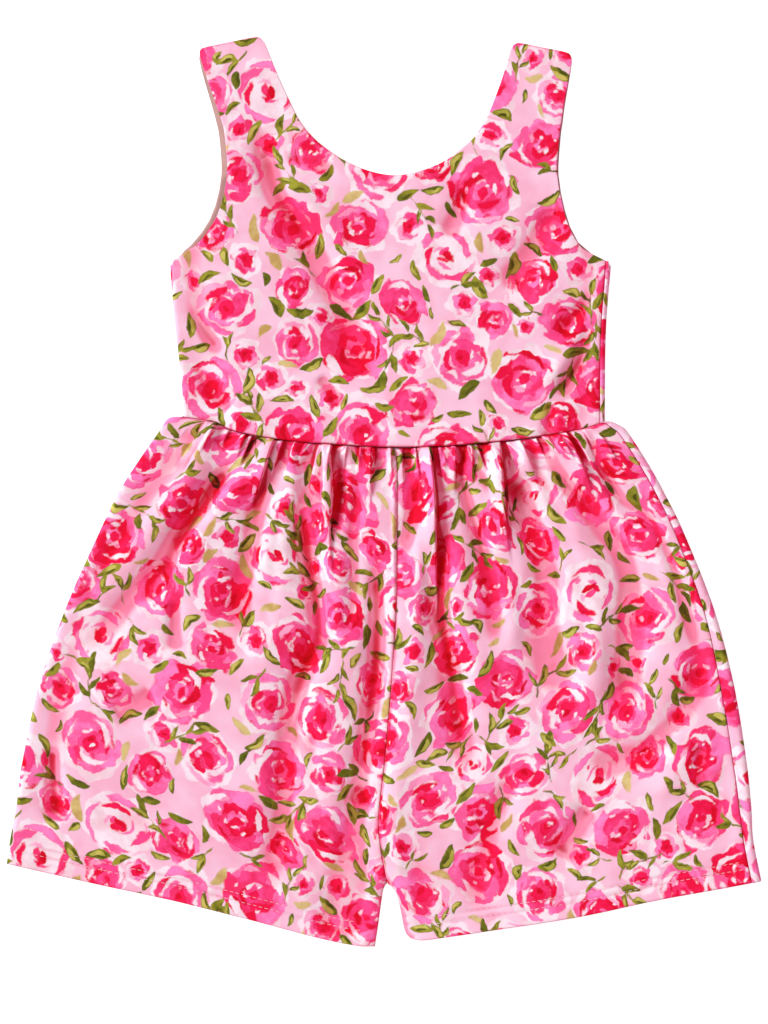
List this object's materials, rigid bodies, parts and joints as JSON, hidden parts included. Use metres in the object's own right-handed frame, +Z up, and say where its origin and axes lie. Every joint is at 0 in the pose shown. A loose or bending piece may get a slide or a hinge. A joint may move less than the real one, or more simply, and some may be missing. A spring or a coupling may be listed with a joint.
{
  "type": "baby romper",
  "caption": "Sleeveless toddler romper in floral knit, laid flat: scooped tank bodice with wide straps, gathered waist seam and loose shorts legs.",
  "frame": {"origin": "bottom middle of the romper's box, on the surface that it lies on", "axes": "+X to the right as seen from above, +Y from the hems to the neck, +Z up from the surface"},
  "size_m": [0.3962, 0.478, 0.0121],
  "materials": {
    "printed_knit": "matt soft cotton knit, printed with pink roses and green leaves on a pale pink ground",
    "white_thread": "matt white sewing thread in two rows of hem stitches"
  },
  "bodies": {
    "root": {"front_bodice": "printed_knit", "back_bodice": "printed_knit", "front_leg_left": "printed_knit", "front_leg_right": "printed_knit", "back_leg_left": "printed_knit", "back_leg_right": "printed_knit"}
  },
  "joints": []
}
